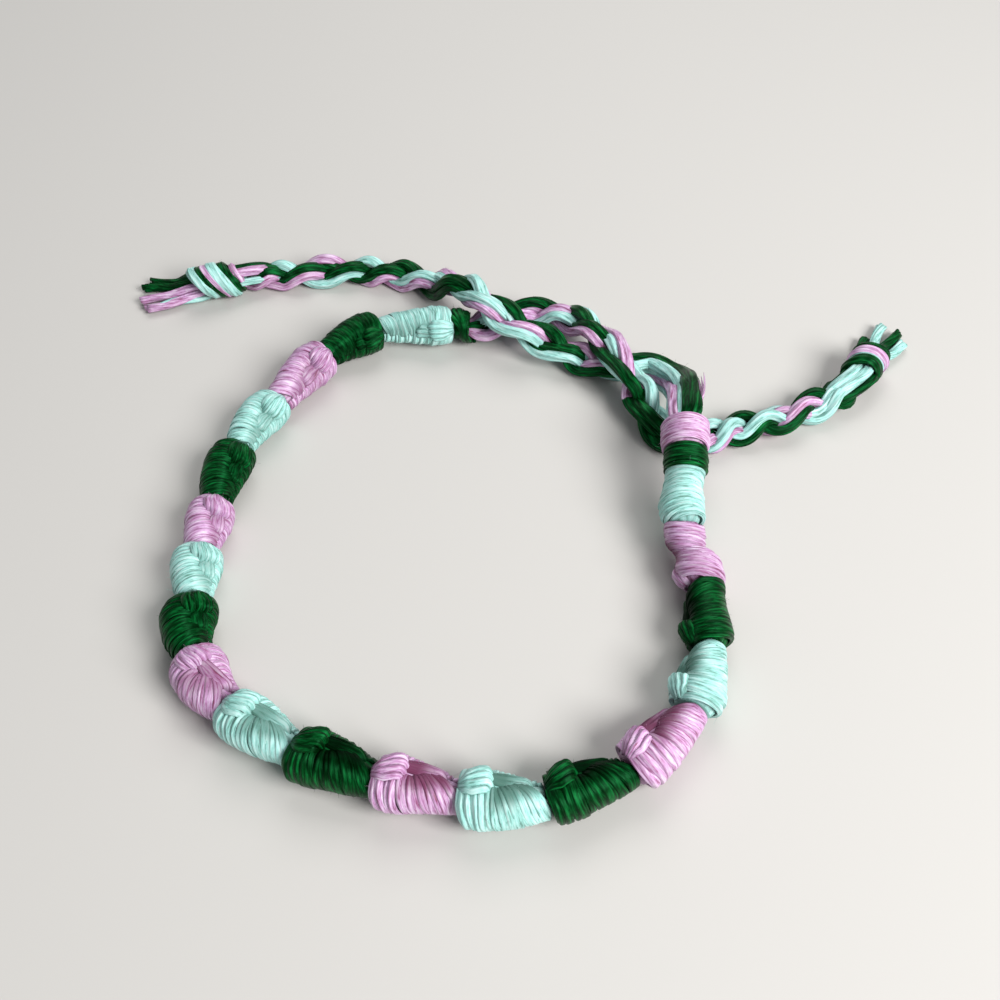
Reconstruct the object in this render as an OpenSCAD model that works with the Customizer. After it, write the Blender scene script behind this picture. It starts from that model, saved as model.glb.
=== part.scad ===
// A friendship bracelet of embroidery floss: a ring of spiral knots in three repeating colours,
// with one plaited tie at each end. The ties cross each other twice, as in the first half of a
// bow, and each ends in an overhand knot with cut ends. It lies flat, as taken off the wrist.
// The origin is the middle of the wrist opening, on the surface that the bracelet lies on.

/* [Ring] */
// Width of the ring, between the middles of the knotted cord
ring_w = 52.5; // [46:0.5:62]
// Depth of the ring, between the middles of the knotted cord
ring_d = 60.3; // [52:0.5:70]
// Thickness of the knotted cord
cord_d = 5.3; // [4.8:0.1:6]
// Height of the ridge where the knots lock, above the cord
ridge_h = 0.45; // [0.2:0.05:0.7]
// Gap between one run of knots and the next
run_gap = 0.12; // [0.08:0.01:0.2]

/* [Ties] */
// Width of one strand of a tie, which is two strings side by side
strand_w = 1.4; // [1.2:0.05:1.6]
// Thickness of one strand of a tie
strand_t = 1.15; // [1:0.05:1.35]
// Air between two strands where they cross
strand_gap = 0.1; // [0.08:0.01:0.2]
// Length in which each strand of the left tie comes back to its place
left_plait_len = 16.6; // [14:0.2:22]
// Length in which each strand of the right tie comes back to its place
right_plait_len = 20; // [14:0.2:22]
// Air between a tie and the binding that lies across it
tie_gap = 0.15; // [0.1:0.01:0.3]

/* [End knots] */
// Thickness of the overhand knot at the end of a tie
knot_d = 4.6; // [4:0.1:5.4]
// Length of the overhand knot
knot_len = 6.6; // [5.5:0.1:8]
// Length of a long cut end past the knot
tail_len = 7.6; // [4:0.2:12]
// Thickness of one lock of cut floss
lock_d = 1.25; // [0.9:0.05:1.4]

/* [Hidden] */
// The ring from its left end round to its right end. Each row is where a piece begins:
// share of half the width, share of half the depth, lift off the surface, girth as a share of
// cord_d, how far the piece bows outward as a share of cord_d, and the angle of the ridge where
// the piece begins and where it ends, from 0 outward over 90 on top to 180 inward. The last row
// only ends the last piece.
ring_rows = [
    [0.045, 1.000, -0.04, 0.87, 0.00, 120, 150],
    [-0.04, 1.000, 0.00, 0.93, 0.00, 150, 160],
    [-0.38, 0.970, 0.00, 0.98, 0.03, 150, 172],
    [-0.62, 0.820, 0.00, 1.00, 0.03, 120, 165],
    [-0.80, 0.570, 0.00, 0.95, 0.09, 120, 165],
    [-0.93, 0.330, 0.00, 0.98, 0.06, 120, 170],
    [-0.98, 0.075, 0.00, 0.97, 0.00, 105, 170],
    [-1.00, -0.13, 0.00, 1.01, 0.02, 110, 165],
    [-0.98, -0.33, 0.00, 1.07, 0.11, 105, 165],
    [-0.93, -0.53, 0.00, 1.06, 0.07, 70, 150],
    [-0.77, -0.71, 0.00, 1.01, -0.03, 85, 150],
    [-0.52, -0.85, 0.00, 1.03, -0.06, 95, 150],
    [-0.24, -0.94, 0.00, 0.98, -0.05, 95, 150],
    [0.050, -0.99, 0.00, 1.03, 0.00, 100, 150],
    [0.345, -1.00, 0.00, 0.97, -0.07, 110, 160],
    [0.630, -0.91, 0.00, 1.03, -0.04, 110, 170],
    [0.865, -0.72, 0.00, 1.04, -0.05, 140, 185],
    [0.960, -0.50, 0.00, 0.96, -0.05, 160, 200],
    [0.970, -0.27, 0.05, 0.99, -0.04, 170, 250],
    [0.945, -0.04, 0.28, 0.94, -0.03, 200, 260],
    [0.945, 0.165, 0.68, 0.98, 0.00, 90, 90],
    [0.950, 0.240, 0.85, 1.18, 0.00, 90, 90],
    [0.960, 0.350, 1.00, 1.18, 0.00, 90, 90]];
COLOURS = ["mint", "green", "pink"];
FLOSS = [[0.69, 0.90, 0.83], [0.03, 0.36, 0.16], [0.80, 0.52, 0.71]];
runs = len(ring_rows) - 4;
first_run = 1;

// Girth along one piece, from its first knot to its last, as shares of its own girth
run_swell = [[0, 0.84], [0.1, 1.02], [0.22, 1.06], [0.45, 1], [0.7, 0.99], [0.88, 0.96], [1, 0.84]];
binding_swell = [[0, 0.94], [0.3, 1], [0.7, 1], [1, 0.94]];
ridge_fade = [[0, 0.2], [0.14, 1], [0.85, 0.9], [1, 0.2]];
run_stations = [0, 0.06, 0.15, 0.28, 0.42, 0.56, 0.7, 0.84, 0.94, 1];
binding_stations = [0, 0.25, 0.75, 1];
run_sides = 16;

// A plait of three strands: how far each strand swings sideways and up
braid_rise = 0.7 * (strand_t + strand_gap);
braid_swing = 0.99 * (strand_w + strand_gap);
braid_t = 2 * braid_rise + strand_t;
strand_sides = 6;
strand_step = 1.5;

// Height of the cord's middle where it lies down, and the rise that carries the right end
// over the right tie
rest_z = 0.48 * cord_d;
band_girth = ring_rows[len(ring_rows) - 1][3];
lift_h = braid_t + tie_gap + band_girth * cord_d / 2 - rest_z;

// The routes of the two ties, chosen by hand, from the end of the ring outward. Each row is a
// share of half the ring's width, a share of half its depth, and a height as a share of the
// plait's thickness. The first point of each is the end of the ring itself.
right_tie_rows = [
    [0.105, 1.010, 0.68], [0.190, 1.050, 0.52], [0.285, 1.095, 0.5],
    [0.400, 1.100, 0.58], [0.500, 1.060, 0.92], [0.600, 0.960, 1.33], [0.675, 0.830, 1.57],
    [0.740, 0.712, 1.53], [0.795, 0.620, 1.26], [0.830, 0.550, 0.9], [0.870, 0.483, 0.6],
    [0.940, 0.425, 0.5], [1.040, 0.405, 0.5], [1.160, 0.440, 0.5], [1.290, 0.478, 0.5],
    [1.430, 0.512, 0.5], [1.560, 0.567, 0.5], [1.680, 0.625, 0.5], [1.780, 0.670, 0.5]];
left_tie_rows = [
    [0.990, 0.450, 2.05], [1.020, 0.570, 1.63], [1.015, 0.680, 1.1],
    [0.970, 0.765, 0.7], [0.895, 0.800, 0.52], [0.810, 0.795, 0.5], [0.725, 0.785, 0.5],
    [0.640, 0.802, 0.5], [0.530, 0.850, 0.6], [0.400, 0.895, 0.97], [0.240, 0.950, 1.5],
    [0.125, 1.030, 1.86], [0.020, 1.140, 1.7], [-0.105, 1.240, 1], [-0.235, 1.325, 0.53],
    [-0.415, 1.370, 0.5], [-0.620, 1.380, 0.5], [-0.815, 1.360, 0.5], [-0.960, 1.352, 0.5],
    [-1.060, 1.330, 0.5]];
// Turn of each strand at the start of its tie, and whether a strand is on top on its way out
// to the edge of the plait (1) or on its way back in (-1)
left_turns = [158, 38, 278];
right_turns = [216, 96, 336];
left_lay = 1;
right_lay = -1;
// Turn of each end knot from the heading of its tie
left_knot_turn = 2;
right_knot_turn = 30;

// Girth along an end knot, with a swell for each turn of floss round it
knot_swell = [[0, 0.74], [0.1, 0.96], [0.22, 0.84], [0.36, 1], [0.5, 0.86], [0.64, 1], [0.78, 0.84],
    [0.9, 0.9], [1, 0.55]];
knot_sides = 12;
knot_lean = 0.32;

// The cut ends past each knot: turn from the knot's line in degrees, length as a share of
// tail_len, and height of the root as a share of knot_d
left_locks = [[20, 0.7, 0.26], [6, 1.04, 0.3], [-6, 1.06, 0.5], [-22, 0.9, 0.5], [-44, 0.78, 0.66]];
right_locks = [[50, 0.55, 0.3], [10, 0.92, 0.62], [-8, 0.92, 0.5], [-26, 0.88, 0.3], [0, 0.5, 0.28]];

RUN_NAMES = [for (i = [1 : runs]) str(COLOURS[(i - 1) % 3], "_run_", i)];
STRANDS = ["green_mint_strand", "mint_pink_strand", "pink_green_strand"];
STRAND_COLOURS = [1, 0, 2];
TIE_NAMES = [for (side = ["left", "right"]) for (s = STRANDS) str(side, "_tie_", s)];

function unit(v) = v / norm(v);

// A smooth curve through a list of points, where u counts the points
function between(a, b, c, d, t) =
    (2 * b + (c - a) * t + (2 * a - 5 * b + 4 * c - d) * t * t + (3 * b - a - 3 * c + d) * t * t * t) / 2;
function on_curve(points, u) =
    let (i = max(0, min(floor(u), len(points) - 2)), b = points[i], c = points[i + 1])
    let (a = i > 0 ? points[i - 1] : 2 * b - c)
    let (d = i < len(points) - 2 ? points[i + 2] : 2 * c - b)
    between(a, b, c, d, u - i);

ring_points = [for (r = ring_rows)
    [r[0] * ring_w / 2, r[1] * ring_d / 2, rest_z + r[2] * lift_h]];
function ring_heading(u) = unit(on_curve(ring_points, u + 0.04) - on_curve(ring_points, u - 0.04));
function outward(heading) = unit([heading[1], -heading[0], 0]);

// A closed skin over rings of points, each ring going round the same way
module skin(rings) {
    n = len(rings[0]);
    last = (len(rings) - 1) * n;
    walls = [for (j = [0 : len(rings) - 2]) for (k = [0 : n - 1])
        let (a = j * n + k, b = j * n + (k + 1) % n) each [[a, b, b + n], [a, b + n, a + n]]];
    ends = [for (k = [1 : n - 2]) each [[0, k + 1, k], [last, last + k, last + k + 1]]];
    polyhedron(points = [for (r = rings) each r], faces = concat(walls, ends));
}

// One ring of points round the knotted cord at u, with its ridge at the angle crest
function cord_ring(u, radius, ridge, crest, bow) =
    let (along = ring_heading(u), out = outward(along), up = cross(out, along))
    let (middle = on_curve(ring_points, u) + bow * out)
    [for (k = [0 : run_sides - 1])
        let (a = 360 * k / run_sides, r = radius + ridge * pow(max(0, cos(a - crest)), 3))
        let (p = middle + r * (cos(a) * out + sin(a) * up))
        [p[0], p[1], max(p[2], 0)]];

// The piece of the ring that begins at a row, with half a gap left at each end
module cord_piece(row, swell, stations, ridge) {
    reach = norm(ring_points[row + 1] - ring_points[row]);
    gap = run_gap / 2 / reach;
    radius = ring_rows[row][3] * cord_d / 2;
    bow = ring_rows[row][4] * cord_d;
    crest = [ring_rows[row][5], ring_rows[row][6]];
    skin([for (t = stations) cord_ring(row + gap + t * (1 - 2 * gap), radius * lookup(t, swell),
        ridge * lookup(t, ridge_fade), crest[0] + t * (crest[1] - crest[0]), bow * sin(180 * t))]);
}

module knot_run(i) {
    color(FLOSS[(i - 1) % 3]) cord_piece(first_run + i - 1, run_swell, run_stations, ridge_h);
}

module binding(row, colour) {
    color(FLOSS[colour]) cord_piece(row, binding_swell, binding_stations, 0);
}

// The middle line of a tie, as tables by the length from its start
function tie_points(start, rows) = concat([start],
    [for (r = rows) [r[0] * ring_w / 2, r[1] * ring_d / 2, max(r[2], 0.5) * braid_t]]);
function fine_line(points) =
    let (cuts = 6, spans = len(points) - 1)
    [for (k = [0 : cuts * spans]) on_curve(points, k / cuts)];
function lengths(line) =
    [for (i = 0, s = 0; i < len(line); s = s + norm(line[min(i + 1, len(line) - 1)] - line[i]),
        i = i + 1) s];
function tie_tables(start, rows) =
    let (line = fine_line(tie_points(start, rows)), s = lengths(line))
    [for (axis = [0 : 2]) [for (i = [0 : len(line) - 1])
        [s[i], axis == 2 ? max(line[i][2], braid_t / 2) : line[i][axis]]]];
function tie_length(tables) = tables[0][len(tables[0]) - 1][0];
function tie_at(tables, s) = [for (axis = [0 : 2]) lookup(s, tables[axis])];
function tie_heading(tables, s) =
    let (reach = strand_w / 2)
    let (from = min(max(s, reach), tie_length(tables) - reach))
    unit(tie_at(tables, from + reach) - tie_at(tables, from - reach));
left_start = ring_points[len(ring_points) - 1];
right_start = ring_points[0];

// Where one strand of a tie runs, at the length s. The plait is its length, a strand's turn
// and its lay.
function strand_at(tables, s, plait) =
    let (along = tie_heading(tables, s), side = unit([-along[1], along[0], 0]))
    let (up = cross(along, side), a = 360 * s / plait[0] + plait[1])
    tie_at(tables, s) + braid_swing * sin(a) * side + plait[2] * braid_rise * sin(2 * a) * up;
// One ring of points round a strand, square to the strand, or moved into the face given as a
// point and a way
function strand_ring(tables, s, plait, face) =
    let (middle = strand_at(tables, s, plait), reach = strand_step / 4)
    let (next = strand_at(tables, s + reach, plait) - strand_at(tables, s - reach, plait))
    let (along = unit(face == undef ? next : face[1]))
    let (off = face == undef ? 0 : (middle - face[0]) * along)
    let (side = unit(cross([0, 0, 1], along)), up = cross(along, side))
    [for (k = [0 : strand_sides - 1])
        let (a = 360 * (k + 0.5) / strand_sides)
        middle - off * along + strand_w / 2 * cos(a) * side - strand_t / 2 * sin(a) * up];

module tie_strand(start, way, rows, colour, plait, knot_turn) {
    tables = tie_tables(start, rows);
    whole = tie_length(tables) - 2 * strand_gap;
    steps = ceil(whole / strand_step);
    last_way = knot_way(tables, knot_turn);
    first = [start + strand_gap * way, way];
    last = [tie_at(tables, tie_length(tables)) - strand_gap * last_way, last_way];
    color(FLOSS[colour])
        skin([for (j = [0 : steps])
            strand_ring(tables, strand_gap + whole * j / steps, plait,
                j == 0 ? first : j == steps ? last : undef)]);
}

// The level way in which an end knot lies, past the end of its tie
function knot_way(tables, turn) =
    let (heading = tie_heading(tables, tie_length(tables)))
    let (along = unit([heading[0], heading[1], 0]))
    cos(turn) * along + sin(turn) * [-along[1], along[0], 0];

// One lock of cut floss, from inside the knot to its tip on the surface
module lock(root, tip) {
    along = unit([tip[0] - root[0], tip[1] - root[1], 0]);
    side = [-along[1], along[0], 0];
    girths = [[0, 0.8], [0.45, 1], [0.8, 1], [1, 0.8]];
    skin([for (g = girths)
        let (sag = lookup(g[0], [[0, 0], [0.45, 0.62], [0.8, 0.94], [1, 1]]))
        let (middle = [for (axis = [0 : 2])
            root[axis] + (axis == 2 ? sag : g[0]) * (tip[axis] - root[axis])])
        [for (k = [0 : strand_sides - 1])
            let (a = 360 * (k + 0.5) / strand_sides)
            middle + g[1] * lock_d / 2 * (cos(a) * side - sin(a) * [0, 0, 1])]]);
}

// An overhand knot at the end of a tie, with the cut ends fused to it
module end_knot(start, rows, locks, colour, turn) {
    tables = tie_tables(start, rows);
    end = tie_at(tables, tie_length(tables));
    along = knot_way(tables, turn);
    side = [-along[1], along[0], 0];
    foot = [end[0], end[1], 0];
    color(FLOSS[colour]) {
        skin([for (w = knot_swell)
            let (r = w[1] * knot_d / 2, lean = knot_lean * r * sin(180 * w[0]))
            [for (k = [0 : knot_sides - 1])
                let (a = 360 * k / knot_sides)
                let (p = foot + (w[0] * knot_len + lean * cos(a)) * along + r * cos(a) * side
                    + [0, 0, knot_d / 2 - r * sin(a)])
                [p[0], p[1], max(p[2], 0)]]]);
        for (l = locks)
            let (way = cos(l[0]) * along + sin(l[0]) * side)
            let (root = foot + 0.82 * knot_len * along + sin(l[0]) * knot_d / 2 * side)
            lock(root + [0, 0, l[2] * knot_d],
                root + (0.18 * knot_len + l[1] * tail_len) * way + [0, 0, lock_d / 2]);
    }
}

for (i = [1 : runs])
    knot_run(i);
binding(0, 1);  // left_end_binding
binding(first_run + runs, 1);  // right_end_binding_green
binding(first_run + runs + 1, 2);  // right_end_binding_pink
for (k = [0 : 2])
    tie_strand(left_start, ring_heading(len(ring_points) - 1), left_tie_rows, STRAND_COLOURS[k],
            [left_plait_len, left_turns[k], left_lay], left_knot_turn);
for (k = [0 : 2])
    tie_strand(right_start, -ring_heading(0), right_tie_rows, STRAND_COLOURS[k],
            [right_plait_len, right_turns[k], right_lay], right_knot_turn);
end_knot(left_start, left_tie_rows, left_locks, 0, left_knot_turn);  // left_tie_knot
end_knot(right_start, right_tie_rows, right_locks, 1, right_knot_turn);  // right_tie_knot
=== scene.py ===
"""A friendship bracelet of six-strand embroidery floss, lying flat with its ties crossed.

The bracelet's lengths are in millimetres and become metres where a mesh is made. Angles in the
tables are in degrees. A place along the ring is counted in rows of ring_rows, from its left end
round to its right end.
"""

import math
from collections import namedtuple

import bpy
import numpy as np
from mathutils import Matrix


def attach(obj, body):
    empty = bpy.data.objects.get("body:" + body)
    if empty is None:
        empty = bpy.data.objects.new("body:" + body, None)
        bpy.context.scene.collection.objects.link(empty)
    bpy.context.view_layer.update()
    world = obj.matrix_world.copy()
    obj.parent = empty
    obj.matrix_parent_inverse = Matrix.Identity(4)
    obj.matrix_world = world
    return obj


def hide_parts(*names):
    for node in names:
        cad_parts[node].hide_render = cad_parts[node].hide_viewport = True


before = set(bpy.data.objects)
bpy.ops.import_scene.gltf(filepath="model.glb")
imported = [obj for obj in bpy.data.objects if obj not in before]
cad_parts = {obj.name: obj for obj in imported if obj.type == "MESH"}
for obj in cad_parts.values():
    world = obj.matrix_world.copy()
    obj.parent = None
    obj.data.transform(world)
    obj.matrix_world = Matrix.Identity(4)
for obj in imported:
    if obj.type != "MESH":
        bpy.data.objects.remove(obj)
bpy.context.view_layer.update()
scene = bpy.context.scene
chance = np.random.default_rng(7)

# Camera, at the photo's angle, about 11 cm from the bracelet

camera_pitch = 53
camera = bpy.data.objects.new("Camera", bpy.data.cameras.new("Camera"))
camera.location = (0.0049, -0.062175, 0.088979)
camera.rotation_euler = (math.radians(90 - camera_pitch), 0, 0)
camera.data.lens = 36.1
camera.data.sensor_width = 36
camera.data.clip_start = 0.001
camera.data.dof.use_dof = False
scene.collection.objects.link(camera)
scene.camera = camera

# Floor, a plain pale surface, and soft daylight from the right front and from behind

floor_mesh = bpy.data.meshes.new("Floor")
floor_mesh.from_pydata([(-1, -1, 0), (1, -1, 0), (1, 1, 0), (-1, 1, 0)], [], [(0, 1, 2, 3)])
floor = bpy.data.objects.new("Floor", floor_mesh)
scene.collection.objects.link(floor)
floor_material = bpy.data.materials.new("Pale floor")
floor_material.use_nodes = True
floor_shader = floor_material.node_tree.nodes["Principled BSDF"]
floor_shader.inputs["Base Color"].default_value = (0.60, 0.58, 0.55, 1)
floor_shader.inputs["Roughness"].default_value = 0.75
floor_mesh.materials.append(floor_material)

for name, place, width, power in (
    ("Window", (0.27, -0.19, 0.27), 0.22, 2.3),
    ("Sky", (0.04, 0.30, 0.36), 0.30, 0.9),
):
    light = bpy.data.lights.new(name, "AREA")
    light.size = width
    light.energy = power
    lamp = bpy.data.objects.new(name, light)
    lamp.location = place
    lamp.rotation_euler = (-lamp.location).to_track_quat("-Z", "Y").to_euler()
    scene.collection.objects.link(lamp)
world = bpy.data.worlds.new("Daylight")
world.use_nodes = True
world.node_tree.nodes["Background"].inputs["Color"].default_value = (0.92, 0.96, 1, 1)
world.node_tree.nodes["Background"].inputs["Strength"].default_value = 0.26
scene.world = world
scene.view_settings.view_transform = "Standard"
scene.view_settings.look = "None"

# Runs of spiral knots: 19, in mint, green and pink in turn, of cotton floss. Each is a row of half
# hitches that its colour's two strings tie round the other four. The hitches lock along a ridge
# of loops that creeps round the cord, and each run's ridge starts higher up again.

MINT, GREEN, PINK = 0, 1, 2
RUNS = 19
PLIES = 6
ring_w, ring_d, cord_d = 52.5, 60.3, 5.3
plait_t, air = 2.9, 0.15

# across and deep are shares of half the ring's width and depth, lift is a share of lift_h, and
# girth and bow, outwards, are shares of cord_d. The ridge's angle is 0 outwards and 90 on top.
ring_rows = np.array([
    # across, deep, lift, girth, bow, ridge from, ridge to
    (0.045, 1.000, -0.04, 0.87, 0.00, 120, 150),
    (-0.04, 1.000, 0.00, 0.93, 0.00, 150, 160),
    (-0.38, 0.970, 0.00, 0.98, 0.03, 150, 172),
    (-0.62, 0.820, 0.00, 1.00, 0.03, 120, 165),
    (-0.80, 0.570, 0.00, 0.95, 0.09, 120, 165),
    (-0.93, 0.330, 0.00, 0.98, 0.06, 120, 170),
    (-0.98, 0.075, 0.00, 0.97, 0.00, 105, 170),
    (-1.00, -0.13, 0.00, 1.01, 0.02, 110, 165),
    (-0.98, -0.33, 0.00, 1.07, 0.11, 105, 165),
    (-0.93, -0.53, 0.00, 1.06, 0.07, 70, 150),
    (-0.77, -0.71, 0.00, 1.01, -0.03, 85, 150),
    (-0.52, -0.85, 0.00, 1.03, -0.06, 95, 150),
    (-0.24, -0.94, 0.00, 0.98, -0.05, 95, 150),
    (0.050, -0.99, 0.00, 1.03, 0.00, 100, 150),
    (0.345, -1.00, 0.00, 0.97, -0.07, 110, 160),
    (0.630, -0.91, 0.00, 1.03, -0.04, 110, 170),
    (0.865, -0.72, 0.00, 1.04, -0.05, 140, 185),
    (0.960, -0.50, 0.00, 0.96, -0.05, 160, 200),
    (0.970, -0.27, 0.05, 0.99, -0.04, 170, 250),
    (0.920, -0.04, 0.28, 0.94, -0.03, 228, 270),
    (0.945, 0.165, 0.68, 0.98, 0.00, 90, 90),
    (0.950, 0.240, 0.85, 1.18, 0.00, 90, 90),
    (0.960, 0.350, 1.00, 1.18, 0.00, 90, 90),
])

# the ring lies on the table, but its right end rides on the right tie, with a little air between
rest_z = 0.48 * cord_d
lift_h = plait_t + air + ring_rows[-1, 3] * cord_d / 2 - rest_z
ring_points = np.stack([ring_rows[:, 0] * ring_w / 2, ring_rows[:, 1] * ring_d / 2,
                        rest_z + ring_rows[:, 2] * lift_h], 1)

UP = np.array([0.0, 0.0, 1.0])
Floss = namedtuple("Floss", "points quads uv hues sides dim")


def unit(v):
    return v / np.linalg.norm(v, axis=-1, keepdims=True)


def on_curve(points, u):
    """A smooth curve through points, where u counts them."""
    u = np.asarray(u, float)
    i = np.clip(np.floor(u).astype(int), 0, len(points) - 2)
    ends = np.vstack([2 * points[0] - points[1], points, 2 * points[-1] - points[-2]])
    a, b, c, d = (ends[i + k] for k in range(4))
    t = (u - i)[..., None]
    return (2 * b + (c - a) * t + (2 * a - 5 * b + 4 * c - d) * t**2 + (3 * b - a - 3 * c + d) * t**3) / 2


def around(u, angle, radius, bow=0.0):
    """Points at an angle and radius round the cord, and the way out from its middle."""
    step = 0.04
    along = unit(on_curve(ring_points, u + step) - on_curve(ring_points, u - step))
    out = unit(np.stack([along[:, 1], -along[:, 0], np.zeros(len(along))], 1))
    up = np.cross(out, along)
    angle = np.radians(angle).reshape(-1, 1)
    way = np.cos(angle) * out + np.sin(angle) * up
    middle = on_curve(ring_points, u) + np.asarray(bow).reshape(-1, 1) * out
    return middle + np.asarray(radius).reshape(-1, 1) * way, way


def string(path, way, width, thick, colour, plies, sides, twist, lobe, dim=0.0):
    """One length of floss swept along path, no lower than the table.

    Its plies show as lobes that twist round it: a twist of 360 turns them by one ply in each
    millimetre. way points out of the piece, across its thickness, and the last argument is how
    much painted shade it gets, most where it lies in a hollow. U of its UV map runs along it, in
    millimetres, and V round it, a sixth for each ply, rolled with the twist.
    """
    n = len(path)
    dim = np.repeat(np.broadcast_to(dim, n), sides)
    width, thick = np.broadcast_to(width, n), np.broadcast_to(thick, n)
    path = path.copy()
    path[:, 2] = np.maximum(path[:, 2], thick / 2)
    along = unit(np.gradient(path, axis=0))
    way = unit(way - (way * along).sum(1, keepdims=True) * along)
    side = np.cross(along, way)
    length = np.concatenate([[0], np.cumsum(np.linalg.norm(np.diff(path, axis=0), axis=1))])
    a = np.linspace(0, 2 * math.pi, sides, endpoint=False)
    bulge = 1 + lobe * np.cos(plies * a[None] + np.radians(twist) * length[:, None])
    across = np.cos(a)[None] * bulge * width[:, None] / 2
    deep = np.sin(a)[None] * bulge * thick[:, None] / 2
    points = path[:, None] + across[..., None] * side[:, None] + deep[..., None] * way[:, None]
    points[..., 2] = np.maximum(points[..., 2], 0.0)
    i, k = np.meshgrid(np.arange(n - 1), np.arange(sides), indexing="ij")
    i, k = i.ravel(), k.ravel()
    quads = np.stack([i * sides + k, i * sides + (k + 1) % sides,
                      (i + 1) * sides + (k + 1) % sides, (i + 1) * sides + k], 1)
    roll = np.radians(twist) * length / (PLIES * 2 * math.pi)
    uv = np.stack([np.stack([length[i + p], (k + q) / sides * plies / PLIES + roll[i + p]], 1)
                   for p, q in ((0, 0), (0, 1), (1, 1), (1, 0))], 1) + chance.integers(0, 50, 2)
    colour = np.broadcast_to(colour, n)
    hues = np.append(colour[i], (colour[0], colour[-1]))
    return Floss(points.reshape(-1, 3), quads, uv, hues, sides, dim)


def fuzz(strings, middle, count):
    """Loose fibres that stand off the floss, away from middle, in the colour of their string."""
    points = np.concatenate([one.points for one in strings])
    hues = np.concatenate([one.hues[np.minimum(np.arange(len(one.points)), len(one.quads) - 1)]
                           for one in strings])
    ways = unit(points - middle)
    fibre_t = 0.017
    hairs = []
    for k in chance.integers(0, len(points), count):
        t = np.linspace(0, 1, 4)[:, None] * chance.uniform(0.12, 0.5)
        lean, curl = unit(ways[k] + chance.normal(0, 0.9, 3)), chance.normal(0, 0.8, 3)
        path = points[k] + lean * t + curl * t**2
        hairs.append(string(path, np.array([0.3, 0.5, 0.9]), fibre_t, fibre_t, hues[k],
                            plies=1, sides=3, twist=0, lobe=0))
    return hairs


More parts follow.
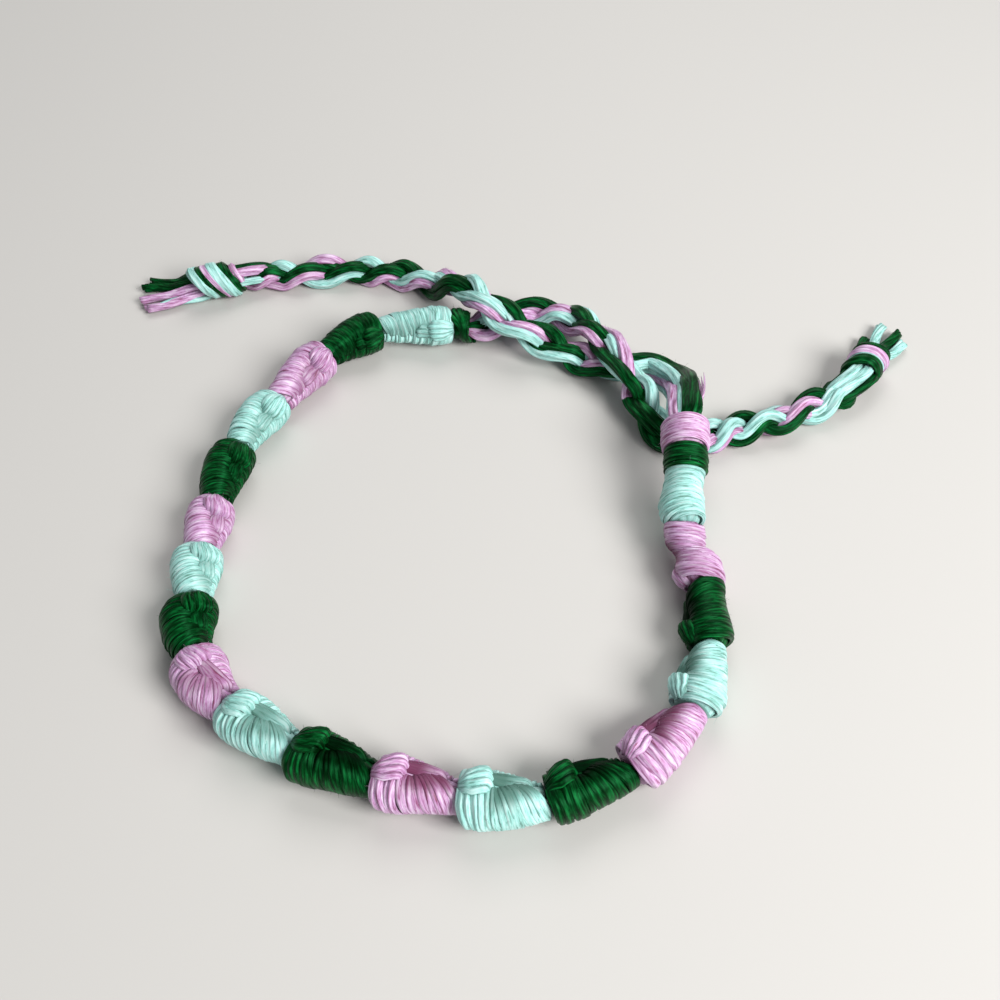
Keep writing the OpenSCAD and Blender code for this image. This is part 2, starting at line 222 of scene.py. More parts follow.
def floss_material(name, deep, body, light, sheen, gloss, shine):
    """Mercerised cotton floss: fine filaments that run along the plies, streaked with painted
    shade and painted highlight, a groove between plies, satin on top, and painted shade in the
    creases and in a hollow."""
    material = bpy.data.materials.new(name)
    material.use_nodes = True
    nodes, links = material.node_tree.nodes, material.node_tree.links
    shader = nodes["Principled BSDF"]

    # filaments, as streaks along the string from the deep to the light colour: a fibre texture,
    # with painted shade at its deep end and painted highlight at its light end
    uv = nodes.new("ShaderNodeUVMap")
    uv.uv_map = "Floss"
    stretch = nodes.new("ShaderNodeMapping")
    stretch.inputs["Scale"].default_value = (0.5, 15, 1)
    links.new(uv.outputs["UV"], stretch.inputs["Vector"])
    filaments = nodes.new("ShaderNodeTexNoise")
    filaments.inputs["Detail"].default_value = 3.0
    filaments.inputs["Scale"].default_value = 1.0
    filaments.inputs["Roughness"].default_value = 0.65
    links.new(stretch.outputs["Vector"], filaments.inputs["Vector"])
    tint = nodes.new("ShaderNodeValToRGB")
    tint.color_ramp.elements[0].position = 0.32
    tint.color_ramp.elements[0].color = (*deep, 1)
    tint.color_ramp.elements[1].position = 0.70
    tint.color_ramp.elements[1].color = (*light, 1)
    tint.color_ramp.elements.new(0.47).color = (*body, 1)
    links.new(filaments.outputs["Fac"], tint.inputs["Fac"])

    # soft patches of uneven dye
    place = nodes.new("ShaderNodeTexCoord")
    patches = nodes.new("ShaderNodeTexNoise")
    patches.inputs["Scale"].default_value = 420.0
    patches.inputs["Detail"].default_value = 1.0
    links.new(place.outputs["Object"], patches.inputs["Vector"])
    uneven = nodes.new("ShaderNodeMapRange")
    uneven.inputs["From Min"].default_value = 0.3
    uneven.inputs["From Max"].default_value = 0.7
    uneven.inputs["To Min"].default_value = 0.74
    uneven.inputs["To Max"].default_value = 1.0
    links.new(patches.outputs["Fac"], uneven.inputs["Value"])
    worn = nodes.new("ShaderNodeMix")
    worn.data_type = "RGBA"
    worn.inputs["A"].default_value = (*deep, 1)
    links.new(uneven.outputs["Result"], worn.inputs["Factor"])
    links.new(tint.outputs["Color"], worn.inputs["B"])

    # painted shade: a deeper colour, by the floss's own shade attribute, where a string lies in the
    # hollow beside a ridge of loops
    hollow = nodes.new("ShaderNodeAttribute")
    hollow.attribute_name = "HollowShade"
    shaded = nodes.new("ShaderNodeMix")
    shaded.data_type = "RGBA"
    shaded.inputs["B"].default_value = tuple(0.55 * v for v in deep) + (1,)
    links.new(hollow.outputs["Fac"], shaded.inputs["Factor"])
    links.new(worn.outputs["Result"], shaded.inputs["A"])

    # a bump for each ply, since a whole string's six are one turn of V, and the grooves between,
    # which also get painted shade
    split = nodes.new("ShaderNodeSeparateXYZ")
    links.new(uv.outputs["UV"], split.inputs["Vector"])
    count = nodes.new("ShaderNodeMath")
    count.operation = "MULTIPLY"
    count.inputs[1].default_value = PLIES * math.pi
    links.new(split.outputs["Y"], count.inputs[0])
    wave = nodes.new("ShaderNodeMath")
    wave.operation = "SINE"
    links.new(count.outputs[0], wave.inputs[0])
    plies = nodes.new("ShaderNodeMath")
    plies.operation = "ABSOLUTE"
    links.new(wave.outputs[0], plies.inputs[0])
    groove = nodes.new("ShaderNodeMapRange")
    groove.inputs["From Max"].default_value = 0.55
    groove.inputs["To Min"].default_value = 0.6
    links.new(plies.outputs[0], groove.inputs["Value"])

    # painted shade, from ambient occlusion, in the creases between strings and in the grooves
    # between plies
    crease = nodes.new("ShaderNodeAmbientOcclusion")
    crease.samples = 6
    crease.inputs["Distance"].default_value = 0.0016
    depth = nodes.new("ShaderNodeMapRange")
    depth.inputs["From Min"].default_value = 0.12
    depth.inputs["From Max"].default_value = 0.72
    depth.inputs["To Min"].default_value = 0.28
    links.new(crease.outputs["AO"], depth.inputs["Value"])
    both = nodes.new("ShaderNodeMath")
    both.operation = "MULTIPLY"
    links.new(groove.outputs["Result"], both.inputs[0])
    links.new(depth.outputs["Result"], both.inputs[1])
    dark = nodes.new("ShaderNodeMix")
    dark.data_type = "RGBA"
    dark.inputs["A"].default_value = tuple(0.5 * v for v in deep) + (1,)
    links.new(both.outputs[0], dark.inputs["Factor"])
    links.new(shaded.outputs["Result"], dark.inputs["B"])
    links.new(dark.outputs["Result"], shader.inputs["Base Color"])

    # relief of the plies and filaments
    height = nodes.new("ShaderNodeMath")
    height.operation = "MULTIPLY_ADD"
    height.inputs[1].default_value = 0.7
    links.new(plies.outputs[0], height.inputs[0])
    links.new(filaments.outputs["Fac"], height.inputs[2])
    bump = nodes.new("ShaderNodeBump")
    bump.inputs["Strength"].default_value = 0.8
    bump.inputs["Distance"].default_value = 0.00009
    links.new(height.outputs[0], bump.inputs["Height"])
    links.new(bump.outputs["Normal"], shader.inputs["Normal"])

    # satin that follows the string, dull where shade is painted in a hollow, with a soft bloom of fibres
    along = nodes.new("ShaderNodeTangent")
    along.direction_type = "UV_MAP"
    along.uv_map = "Floss"
    links.new(along.outputs["Tangent"], shader.inputs["Tangent"])
    shader.inputs["Anisotropic"].default_value = 0.7
    shader.inputs["Anisotropic Rotation"].default_value = 0.25
    shader.inputs["Roughness"].default_value = 0.42
    dull = nodes.new("ShaderNodeMapRange")
    dull.inputs["To Min"].default_value = gloss
    dull.inputs["To Max"].default_value = 0.04
    links.new(hollow.outputs["Fac"], dull.inputs["Value"])
    links.new(dull.outputs["Result"], shader.inputs["Specular IOR Level"])
    shader.inputs["Specular Tint"].default_value = (*shine, 1)
    shader.inputs["Sheen Weight"].default_value = sheen
    shader.inputs["Sheen Roughness"].default_value = 0.4
    shader.inputs["Sheen Tint"].default_value = (*light, 1)
    return material


# each floss's deep colour is a painted shade, and its light colour a painted highlight, of its body
# colour
floss_materials = [
    floss_material("Mint floss", deep=(0.12, 0.28, 0.22), body=(0.40, 0.81, 0.75),
                   light=(0.76, 1.0, 0.97), sheen=0.18, gloss=0.45, shine=(1, 1, 1)),
    floss_material("Green floss", deep=(0.0003, 0.006, 0.001), body=(0.0006, 0.026, 0.004),
                   light=(0.005, 0.18, 0.038), sheen=0.0, gloss=0.26, shine=(0.10, 0.85, 0.30)),
    floss_material("Pink floss", deep=(0.25, 0.055, 0.13), body=(0.63, 0.34, 0.62),
                   light=(0.98, 0.84, 1.0), sheen=0.14, gloss=0.45, shine=(1, 1, 1)),
]


def piece(name, strings):
    """One object of many lengths of floss, in place of the CAD node of that name."""
    corners, totals, uvs = [], [], []
    base = 0
    for one in strings:
        last = base + len(one.points) - one.sides
        first_cap, last_cap = np.arange(one.sides)[::-1] + base, np.arange(one.sides) + last
        corners += [one.quads.ravel() + base, first_cap, last_cap]
        uvs += [one.uv.reshape(-1, 2), np.zeros((2 * one.sides, 2))]
        totals += [np.full(len(one.quads), 4), [one.sides, one.sides]]
        base += len(one.points)
    verts = np.concatenate([one.points for one in strings]) / 1000
    hues = np.concatenate([one.hues for one in strings])
    painted_shades = np.concatenate([one.dim for one in strings])
    corners, totals, uvs = np.concatenate(corners), np.concatenate(totals), np.concatenate(uvs)
    mesh = bpy.data.meshes.new(name)
    mesh.vertices.add(len(verts))
    mesh.vertices.foreach_set("co", verts.astype(np.float32).ravel())
    mesh.loops.add(len(corners))
    mesh.loops.foreach_set("vertex_index", corners.astype(np.int32))
    mesh.polygons.add(len(totals))
    mesh.polygons.foreach_set("loop_start", (np.cumsum(totals) - totals).astype(np.int32))
    for material in floss_materials:
        mesh.materials.append(material)
    mesh.polygons.foreach_set("material_index", hues.astype(np.int32))
    mesh.polygons.foreach_set("use_smooth", np.ones(len(totals), bool))
    mesh.uv_layers.new(name="Floss").data.foreach_set("uv", uvs.astype(np.float32).ravel())
    # the painted shade at each point, which the floss materials read
    hollow = mesh.attributes.new("HollowShade", "FLOAT", "POINT")
    hollow.data.foreach_set("value", painted_shades.astype(np.float32))
    mesh.update(calc_edges=True)
    mesh.validate()
    obj = bpy.data.objects.new(name + "_floss", mesh)
    scene.collection.objects.link(obj)
    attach(obj, "root")
    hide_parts(name)


# t is a share of a run's length, and the run is fullest at its first loop. A seat is how far the
# middle of a string lies within the girth.
swell_at = ([0, 0.1, 0.28, 0.5, 0.72, 0.88, 1], [0.80, 0.96, 1.02, 0.92, 0.80, 0.70, 0.62])
loop_end, hollow_at = 0.38, 0.43
wrap_pitch, wrap_t, wrap_seat = 0.54, 0.50, 0.29
wrap_to, drawn_over = 346, 36
bar_w, bar_t, bar_seat = 0.70, 0.60, 0.40

for run in range(1, RUNS + 1):
    by_binding = run < 3
    back_or_left = run < 9
    on_right = run > 14
    thick_to_end = run > 16
    ridge_beneath = run > 17
    waisted = run == 18
    last = run == RUNS
    colour = (run - 1) % 3
    girth, bow, crest_from, crest_to = ring_rows[run, 3:7]
    bow = bow * cord_d
    reach = np.linalg.norm(ring_points[run + 1] - ring_points[run])
    radius = girth * cord_d / 2

    # how deep the painted shade in the hollow beside the ridge is, most on the front and right runs,
    # whose hollow faces away from the light, how far the wraps lean along the cord, how far the
    # ridge stands out, how much of their spread the wraps keep beside it, and the first and last t
    hollow_shade = np.interp(run, (8, 11, 18, 19), (0.45, 0.95, 0.95, 0.4))
    slant = -2.2 if waisted else 1.2
    stand = 0.1 if ridge_beneath else 0.75 if by_binding or on_right else 1.0
    gather = 0.95 if by_binding else 0.88 if back_or_left else 0.45
    first_t = -0.04 if last else 0.045
    last_t = 1.01 if waisted else 0.955
    waist = 0.26 if waisted else 0.0
    least = 0.86 if thick_to_end else 0

    def swell(t):
        full = np.maximum(np.interp(t, *swell_at), np.where(t > 0.4, least, 0))
        full = full * np.interp(t, (-0.04, 0.14), (0.74, 1)) if last else full
        return full * (1 - waist * np.exp(-(((t - 0.55) / 0.14) ** 2)))

    # the core, which shows only as the floor of the gaps between the wraps
    parts = []
    t = np.linspace(min(0.03, first_t + 0.008), 0.97, 12)
    core, _ = around(run + t, 0, 0, bow * np.sin(np.pi * t))
    thinner = 0.6 if last else 1.3
    fat = 2 * radius * swell(t) - thinner
    parts.append(string(core, UP, fat, fat, colour, plies=PLIES, sides=24, twist=10, lobe=0.05))

    # the wraps, which are drawn together where the first loop ends and fan out from there. bend
    # is how far round from the ridge a wrap has come, and near is 1 at the ridge.
    wraps = round(reach / wrap_pitch)
    for wrap in range(wraps):
        share = (wrap + 0.5) / wraps + chance.uniform(-0.018, 0.018)
        bend_from = 10 if share < 0.36 else -24
        bend = np.linspace(bend_from, wrap_to, 42)
        near = np.exp(-((np.maximum(bend, 0) / drawn_over) ** 1.4))
        drawn = loop_end + gather * (share - loop_end) if share > loop_end else share + 0.03
        lean = (slant * (0.5 - 0.5 * np.cos(np.radians(bend)) - 0.375) + 0.3 * bend / 360) / reach
        t = share + (drawn - share) * near + lean
        t = t + 0.012 * np.sin(np.radians(2.2 * bend) + chance.uniform(0, 6))
        t = np.clip(first_t + (last_t - first_t) * (t + 0.004), first_t, last_t)
        crest = crest_from + (crest_to - crest_from) * t
        hole = np.exp(-(((t - hollow_at) / 0.09) ** 2))
        sink = (0.28 + 0.55 * hole) * np.exp(-((np.maximum(bend - 6, 0) / 26) ** 2))
        sink = sink + 0.4 * np.exp(-(((bend - wrap_to) / 16) ** 2))
        lift = radius * swell(t) - wrap_seat - sink + chance.uniform(-0.07, 0.06)
        # painted shade on the wraps: in the hollow after the first loop, from the ridge out to a bend
        # that is nearer the ridge on the back and left runs, and a little at the run's two ends, where it
        # meets its neighbours
        bright_from = (34 if back_or_left else 64) + chance.uniform(-9, 9)
        dim = hollow_shade / (1 + np.exp((bend - bright_from) / 7)) * np.clip((t - 0.28) / 0.12, 0, 1)
        dim = np.maximum(dim, 0.35 * np.clip(1 - np.minimum(t, 1 - t) / 0.07, 0, 1))
        path, way = around(run + t, crest - bend, lift, bow * np.sin(np.pi * t))
        parts.append(string(path, way, chance.uniform(0.76, 1.02), wrap_t, colour,
                            plies=4, sides=16, twist=22, lobe=0.15, dim=dim))

    # the ridge: a tongue of five bars with rounded tips, then a low second one from under it
    low_end = 0.52 if by_binding else 0.62 if back_or_left else 0.84
    tongues = (
        # first t, last t, bars, half its spread at its root and at its tip, height, way inwards
        (0.01, 0.375, 5, 14, 27, 0.60, 2),
        (0.34, low_end, 4, 8, 22, 0.04, 10),
    )
    for start, end, bars, narrow, wide, tall, inward in tongues:
        on_top = end < loop_end
        for bar in range(bars):
            edge = 2 * bar / (bars - 1) - 1
            x = 1 - (1 - np.linspace(0, 1, 24)) ** 1.4
            t = start + (end - start - 0.035 * edge**2 - chance.uniform(0, 0.02)) * x
            spread = edge * np.interp(x, (0, 0.45, 1), (narrow, 0.95 * wide, wide))
            rise = tall * np.interp(x, (0, 0.25, 0.6, 0.84), (0.1, 0.72, 1.0, 0.9))
            rise = stand * rise - (tall + 0.55) * np.clip((x - 0.82) / 0.18, 0, 1) ** 2.2
            lift = radius * swell(t) - bar_seat + rise - 0.2 * edge**2
            crest = crest_from + (crest_to - crest_from) * t + inward
            # painted shade on the bars: a little at the root of the first tongue, and the hollow's shade
            # along the second
            dim = 0.3 * np.clip(1 - x / 0.3, 0, 1) if on_top else hollow_shade * np.clip(1.35 - x, 0.5, 1)
            path, way = around(run + t, crest + spread, lift, bow * np.sin(np.pi * t))
            parts.append(string(path, way, bar_w, bar_t, colour,
                                plies=3, sides=14, twist=26, lobe=0.12, dim=dim))
    parts += fuzz(parts[1:], on_curve(ring_points, run + 0.5), count=270)
    piece(f"{('mint', 'green', 'pink')[colour]}_run_{run}", parts)

# Left end binding: three turns of green floss round the left end of the ring. They are pulled
# tight at a slant, and hold the six strings together where the right tie leaves them.


def bound(name, row, colour, turns, span, width, tilt, shrink, within=(0.0, 0.97), extra=()):
    """Turns of floss round the cord, over the middle span of one row. tilt is how far a turn
    leans along the cord, and within gives the shares of the row that the turns keep to."""
    turn_t, turn_seat = 0.5, 0.36
    reach = np.linalg.norm(ring_points[row + 1] - ring_points[row])
    radius = ring_rows[row, 3] * cord_d / 2 - shrink
    parts = []
    t = np.linspace(0.04, 0.96, 8)
    core, _ = around(row + t, 0, 0)
    fat = 2 * radius - 0.7 - 0.5 * np.abs(2 * t - 1)
    parts.append(string(core, UP, fat, fat, colour, plies=PLIES, sides=24, twist=10, lobe=0.04))
    for turn in range(turns):
        bend = np.linspace(0, 372, 44)
        slant = tilt * np.cos(np.radians(170 + bend)) + chance.uniform(-0.05, 0.05)
        place = reach / 2 + ((turn + 0.15 + 0.7 * bend / 360) / turns - 0.5) * span + slant
        t = np.clip(place / reach, *within)
        lift = radius - turn_seat + 0.07 * np.sin(np.pi * t) + chance.uniform(-0.06, 0.06)
        path, way = around(row + t, 230 + bend, lift)
        parts.append(string(path, way, width, turn_t, colour, plies=3, sides=12, twist=30, lobe=0.12))
    parts += extra
    parts += fuzz(parts[1:], core.mean(0), count=90)
    piece(name, parts)


bound("left_end_binding", 0, GREEN, turns=3, span=1.05, width=0.75, tilt=1.0, shrink=0.1,
      within=(-0.4, 1.3))

# Right end bindings: close turns of green, then of pink floss, wound tight round the right end of
# the ring. The pink one's own end stands up beside the tie, and its plies part towards the tip.

bound("right_end_binding_green", RUNS + 1, GREEN, turns=7, span=3.2, width=0.46, tilt=0.12, shrink=0.12)
loose_route = np.array([
    # x, y, z
    (26.5, 12.4, 6.4), (27.1, 13.6, 6.9), (27.45, 14.8, 7.1), (27.6, 16.1, 7.0), (27.65, 17.3, 6.8),
])
steps = 17
loose_end = on_curve(loose_route, np.linspace(0, len(loose_route) - 1, steps))
fan = 0.12 * np.linspace(1, 2.4, steps)[:, None]
loose_plies = [string(loose_end + ply * fan, UP, np.linspace(0.5, 0.06, steps),
                      np.linspace(0.4, 0.06, steps), PINK, plies=3, sides=10, twist=60, lobe=0.12)
               for ply in (-1, 0, 1)]
bound("right_end_binding_pink", RUNS + 2, PINK, turns=8, span=2.9, width=0.54, tilt=0.22, shrink=0.42,
      extra=loose_plies)

# Ties: a plait from each end of the ring, of three strands of two strings of floss, laid over each
# other in turn. They cross twice between the ring's two ends and run out to their end knots.

# across and deep are shares of half the ring's width and depth, and height counts plait_t
right_tie_rows = np.array([
    # across, deep, height
    (0.105, 1.010, 0.68), (0.190, 1.050, 0.52), (0.285, 1.095, 0.5),
    (0.400, 1.100, 0.58), (0.500, 1.060, 0.86), (0.600, 0.960, 1.2), (0.675, 0.830, 1.40),
    (0.740, 0.712, 1.36), (0.795, 0.620, 1.13), (0.830, 0.550, 0.85), (0.870, 0.483, 0.6),
    (0.940, 0.425, 0.5), (1.040, 0.405, 0.5), (1.160, 0.440, 0.5), (1.290, 0.478, 0.5),
    (1.430, 0.512, 0.5), (1.560, 0.567, 0.5), (1.680, 0.625, 0.5), (1.780, 0.670, 0.5),
])
left_tie_rows = np.array([
    # across, deep, height
    (0.965, 0.450, 2.05), (0.980, 0.560, 1.70), (0.970, 0.655, 1.2),
    (0.932, 0.738, 0.75), (0.885, 0.790, 0.52), (0.810, 0.795, 0.5), (0.725, 0.785, 0.5),
    (0.640, 0.802, 0.5), (0.530, 0.850, 0.6), (0.400, 0.895, 0.97), (0.240, 0.950, 1.5),
    (0.125, 1.030, 1.86), (0.020, 1.140, 1.7), (-0.105, 1.240, 1), (-0.235, 1.325, 0.53),
    (-0.415, 1.370, 0.5), (-0.620, 1.380, 0.5), (-0.815, 1.360, 0.5), (-0.960, 1.352, 0.5),
    (-1.060, 1.330, 0.5),
])

# how far a strand swings aside and up, its two strings from its middle, and a string's size
plait_sway, plait_rise, string_off = 1.0, 0.84, 0.43
string_w, string_t = 1.52, 1.2
far_below = np.array([0.0, 0.0, -80.0])

# a colour that holds up to this length holds to the end of the string
END = 99


def tie_line(rows, start):
    """The middle of a tie and its length at each point."""
    points = np.vstack([start, np.stack([rows[:, 0] * ring_w / 2, rows[:, 1] * ring_d / 2,
                                         np.maximum(rows[:, 2], 0.5) * plait_t], 1)])
    line = on_curve(points, np.arange(6 * (len(points) - 1) + 1) / 6)
    line[:, 2] = np.maximum(line[:, 2], plait_t / 2)
    return line, np.concatenate([[0], np.cumsum(np.linalg.norm(np.diff(line, axis=0), axis=1))])


def tie_frame(line, length, s):
    """Where a tie is at the lengths s, its heading, and the ways across it and up."""
    def at(v):
        return np.stack([np.interp(v, length, line[:, k]) for k in range(3)], 1)
    step = 0.7
    mid = np.clip(s, step, length[-1] - step)
    along = unit(at(mid + step) - at(mid - step))
    across = unit(np.stack([-along[:, 1], along[:, 0], np.zeros(len(along))], 1))
    inside = np.clip(s, 0, length[-1])
    place = at(inside) + along * (s - inside)[:, None]
    return place, along, across, np.cross(along, across)


def plait(side, rows, start, pitch, lay, pace, tilts, strands):
    """The three strands of one tie, from inside its binding to inside its end knot.

    A strand swings aside and back once in a pitch, and lay is 1 or -1, for which way it goes over
    the others. pace says how far on the plaiting is at a length, and tilts how far the plait lies
    turned on its side. A strand is its name, its turn, its two strings' colours with the lengths
    up to which they hold, and its roll at some lengths.
    """
    line, length = tie_line(rows, start)
    reach_in, step, beyond, taper = 1.2, 0.26, 1.4, 3.2
    s = np.arange(-reach_in, length[-1] + reach_in, step)

    def tuck(v, least):
        """Down from 1 to least where the strands are gathered in a binding or a knot."""
        return np.clip(np.minimum(v + beyond, length[-1] + beyond - v) / taper, least, 1)[:, None]

    ends = tuck(s, 0.25)
    for name, turn, strings, rolls in strands:
        def strand_at(v):
            place, _, across, up = tie_frame(line, length, v)
            tilt = np.radians(np.interp(v, *tilts))[:, None]
            across, up = (np.cos(tilt) * across - np.sin(tilt) * up,
                          np.cos(tilt) * up + np.sin(tilt) * across)
            a = np.radians(360 * np.interp(v, *pace) / pitch + turn)[:, None]
            weave = plait_sway * np.sin(a) * across + lay * plait_rise * np.sin(2 * a) * up
            return place + tuck(v, 0.35) * weave, up

        middle, up = strand_at(s)
        nudge = 0.2
        along = unit(strand_at(s + nudge)[0] - strand_at(s - nudge)[0])
        beside = unit(np.cross(up, along))
        above = np.cross(along, beside)
        smooth = 17
        roll = np.pad(np.interp(s, *zip(*rolls)), smooth // 2, "edge")
        roll = np.radians(np.convolve(roll, np.ones(smooth) / smooth, "valid"))[:, None]
        parts = []
        for half, colours in zip((-1, 1), strings):
            path = middle + half * string_off * ends * (np.cos(roll) * beside + np.sin(roll) * above)
            path[:, 2] -= 0.6 * (1 - ends[:, 0])
            hues = [next(colour for colour, upto in colours if v <= upto) for v in s]
            wide = ends[:, 0] ** 0.4 * (1 + 0.06 * np.sin(0.9 * s + turn + half))
            parts.append(string(path, above, string_w * wide, string_t * wide, hues,
                                plies=PLIES, sides=24, twist=42, lobe=0.10))
        parts += fuzz(parts, far_below, count=420)
        piece(f"{side}_tie_{name}_strand", parts)
    return line, length


left_line, left_length = plait(
    "left", left_tie_rows, ring_points[-1], pitch=16.6, lay=1,
    pace=((-2, 7, 10, 17, 21, 25.7, 31.9, 37.3, 52, 59.6, 65.8, 70.9, 74.1, 77),
          (3.4, 3.4, 4.5, 5.6, 6.2, 11.9, 17.6, 23.1, 35.9, 44.6, 50.1, 55.7, 61.2, 65.4)),
    tilts=((0, 1), (0, 0)),
    strands=(
        ("green_mint", 158,
         (((GREEN, 71.4), (PINK, END)), ((GREEN, 19), (MINT, 38.4), (GREEN, 57), (MINT, END))),
         ((0, -30), (26.2, -35), (34.5, -70), (61.2, -70), (68.5, 70), (74, -30))),
        ("mint_pink", 38,
         (((MINT, 62.5), (GREEN, END)), ((PINK, END),)),
         ((0, 90), (22, 90), (31.4, 150), (40.1, 265), (50, 320), (58.4, 235), (66, 325), (72.5, 290))),
        ("pink_green", 278,
         (((MINT, 19), (PINK, END)), ((MINT, 19), (GREEN, 32.7), (MINT, 51.4), (GREEN, END))),
         ((0, 60), (16, 90), (20, -60), (28.6, 90), (36.9, 140), (46.5, -30), (55.7, 130), (64, -80),
          (70.9, 140))),
    ))
right_line, right_length = plait(
    "right", right_tie_rows, ring_points[0], pitch=20, lay=-1,
    pace=((-2, 22.8, 28.0, 30.2, 32.8, 39.6, 43.2, 45.4, 47.6, 50.1, 52.7, 55.4, 57.3, 58.9, 60.4, 62),
          (-2, 22.2, 25.5, 28.8, 32.2, 38.8, 45.5, 48.8, 52.2, 55.5, 58.8, 62.2, 65.5, 68.8, 72.2, 75)),
    tilts=((38, 43), (0, 34)),
    strands=(
        ("green_mint", 216,
         (((PINK, 9), (GREEN, 38), (MINT, END)), ((MINT, 38), (PINK, 53), (MINT, END))),
         ((5, -30), (15.5, -30), (22, -60), (26.5, -90), (35, 50), (43.2, -90), (50.1, -180),
          (57.3, -360))),
        ("mint_pink", 96,
         (((MINT, 27), (GREEN, 37.2), (MINT, END)), ((PINK, 29.5), (GREEN, END))),
         ((5, 15), (12.2, 15), (22.2, 0), (27, 100), (32.2, 250), (47.6, 270), (55.4, 450), (60.4, 630))),
        ("pink_green", 336,
         (((PINK, 29.5), (GREEN, 38), (PINK, END)), ((GREEN, 23.8), (MINT, 33.8), (GREEN, END))),
         ((8.8, 60), (18.8, 25), (28.8, 60), (38.8, 0), (45.4, 90), (52.7, 270), (58.9, 420))),
    ))

# End knots: an overhand knot in each tie, of its six strings of floss. They go in side by side,
# wind round each other in a barrel of flat bands, and are cut off just past it.

knot_r, band_t, band_seat = 2.3, 0.9, 0.42
ply_w, ply_t = 0.56, 0.52


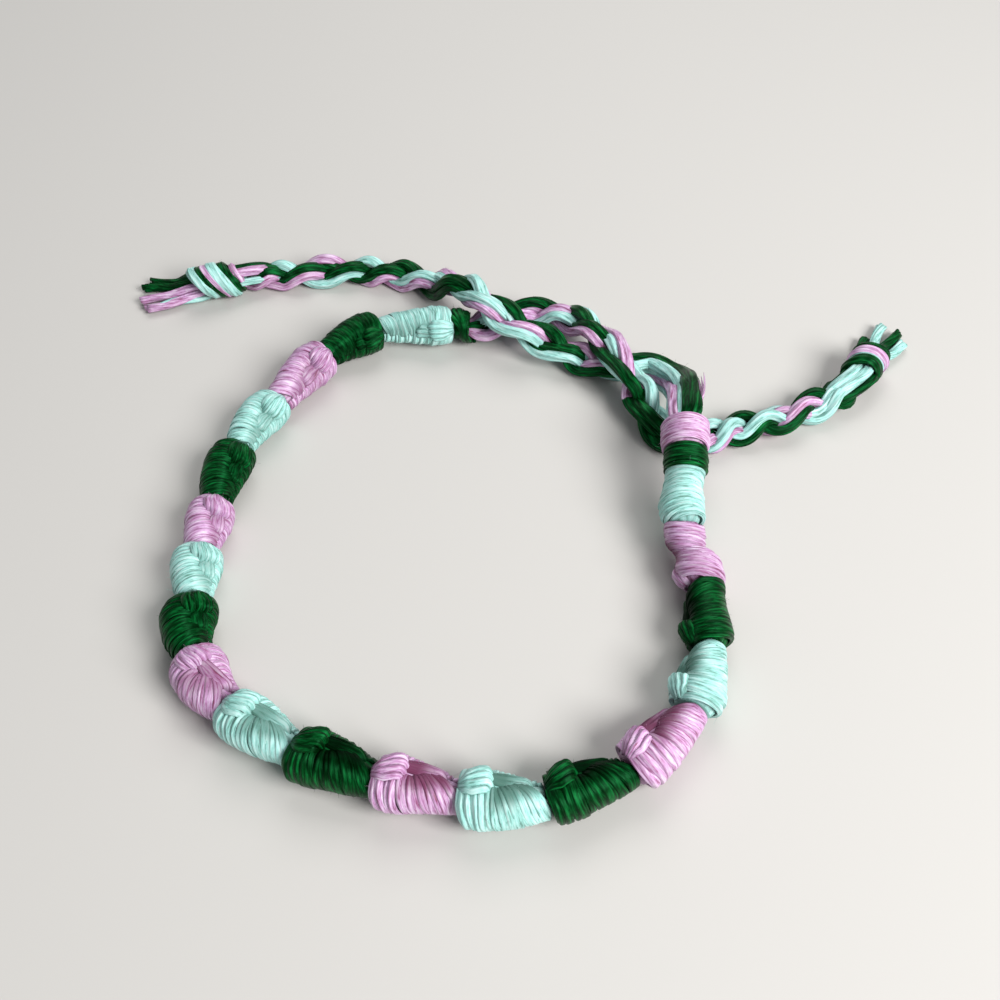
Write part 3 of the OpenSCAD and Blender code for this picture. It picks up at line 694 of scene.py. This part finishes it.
def knot(name, line, length, turn, tip, going_in, windings, cut_ends, colour):
    """One end knot, turned from its tie's heading. tip is 1 where its bands lean along the knot,
    tops foremost, and 0 where they only slant across it.

    A string going in is how far aside it lies, its height, its colour and its width. A winding is
    its place along the knot, how far it leans, its girth, its colour and its width. A cut end is
    its angle from the knot's line, its length, its root's height and its colour.
    """
    place, along, _, _ = tie_frame(line, length, np.array([length[-1]]))
    heading = unit(np.array([along[0, 0], along[0, 1], 0]))
    left = np.array([-heading[1], heading[0], 0])
    swing = math.radians(turn)
    ahead = math.cos(swing) * heading + math.sin(swing) * left
    beside = np.array([-ahead[1], ahead[0], 0])
    foot = np.array([place[0, 0], place[0, 1], 0])
    parts = []
    t = np.linspace(0, 1, 8)
    core = foot + np.outer(0.4 + 6.0 * t, ahead) + 2.1 * UP
    fat = 2.5 * np.sin(np.pi * (0.08 + 0.84 * t)) ** 0.6
    parts.append(string(core, UP, fat, fat, colour, plies=PLIES, sides=24, twist=20, lobe=0.06))
    for aside, height, hue, width in going_in:
        route = np.array([foot - 4.6 * heading + 0.4 * aside * left + 1.2 * UP,
                          foot - 2.0 * heading + 0.8 * aside * left + 0.9 * height * UP,
                          foot + 1.4 * ahead + aside * beside + height * UP,
                          foot + 3.8 * ahead + aside * beside + (height - 0.3) * UP])
        path = on_curve(route, np.linspace(0, 3, 22))
        wide = width * np.interp(np.linspace(0, 1, 22), (0, 0.25, 1), (0.3, 1, 1))
        parts.append(string(path, UP, wide, 0.8 * wide, hue, plies=PLIES, sides=20, twist=42, lobe=0.1))
    for where, lean, girth, hue, width in windings:
        bend = np.radians(np.linspace(-95, 285, 48))
        r = (girth * knot_r - band_seat) * (1 + 0.05 * np.sin(3 * bend + where))
        forward = where + lean * (1 - 0.6 * tip) * np.cos(bend) - tip * lean * np.sin(bend)
        path = (foot + np.outer(forward, ahead) + np.outer(r * np.cos(bend), beside)
                + np.outer(knot_r + r * np.sin(bend), UP))
        way = np.outer(np.cos(bend), beside) + np.outer(np.sin(bend), UP)
        parts.append(string(path, way, width, band_t, hue, plies=PLIES, sides=20, twist=45, lobe=0.11))
    for angle, reach, height, hue in cut_ends:
        swing = math.radians(angle)
        out = math.cos(swing) * ahead + math.sin(swing) * beside
        aside = np.cross(UP, out)
        root = foot + 4.6 * ahead + 1.1 * math.sin(swing) * beside
        t = np.linspace(0, 1, 18)
        drop = np.interp(t, [0, 0.3, 0.6, 1], [height, 0.8 * height, 0.75, 0.62])
        kink = 0.35 * np.sin(5 * t + angle) * t
        splay = 0.30 + 0.05 * np.clip((t - 0.75) / 0.25, 0, 1) ** 2
        fray = np.clip((t - 0.6) / 0.4, 0, 1) ** 2
        for ply in range(PLIES):
            fan = 2 * np.pi * ply / PLIES + 2.0 * t
            path = root + np.outer(t * (1.9 + reach), out) + np.outer(drop, UP)
            path += np.outer(1.15 * splay * np.cos(fan) + kink, aside)
            path += np.outer(0.75 * splay * np.sin(fan), UP)
            path += np.outer(fray * chance.uniform(-0.12, 0.12), aside)
            short = t * chance.uniform(0.93, 1.0)
            path = np.stack([np.interp(short, t, path[:, k]) for k in range(3)], 1)
            parts.append(string(path, UP, ply_w, ply_t, hue, plies=2, sides=10, twist=60, lobe=0.12))
    parts += fuzz(parts[1:], core[4], count=200)
    piece(name, parts)


knot("left_tie_knot", left_line, left_length, turn=2, tip=1,
     going_in=((-0.7, 2.9, GREEN, 1.2), (0.45, 3.1, PINK, 1.35), (1.35, 2.2, MINT, 1.1)),
     windings=((1.3, -0.6, 0.72, PINK, 0.9), (2.3, -0.9, 0.92, GREEN, 1.3),
               (3.3, -1.2, 1.04, MINT, 1.6), (4.2, -1.25, 1.0, PINK, 1.1),
               (4.9, -1.2, 0.97, GREEN, 1.15), (5.8, -1.1, 0.96, MINT, 1.4)),
     cut_ends=((7, 5.4, 0.55, MINT), (5, 7.5, 1.3, PINK), (-5, 8.2, 2.1, PINK),
               (-18, 7.9, 2.3, GREEN), (-28, 7.1, 3.1, GREEN)),
     colour=MINT)
knot("right_tie_knot", right_line, right_length, turn=30, tip=0,
     going_in=((1.35, 2.5, GREEN, 1.0), (0.6, 3.2, MINT, 1.4), (-0.55, 3.2, MINT, 1.35),
               (-1.5, 2.4, GREEN, 1.05)),
     windings=((2.9, -0.6, 0.98, GREEN, 1.5), (3.8, -0.6, 0.90, MINT, 0.8),
               (4.55, -0.6, 1.0, PINK, 1.5), (5.55, -0.5, 0.93, GREEN, 1.2)),
     cut_ends=((18, 4.0, 1.0, GREEN), (4, 7.1, 2.6, MINT), (-6, 7.2, 2.3, GREEN),
               (-17, 6.0, 1.4, MINT)),
     colour=GREEN)
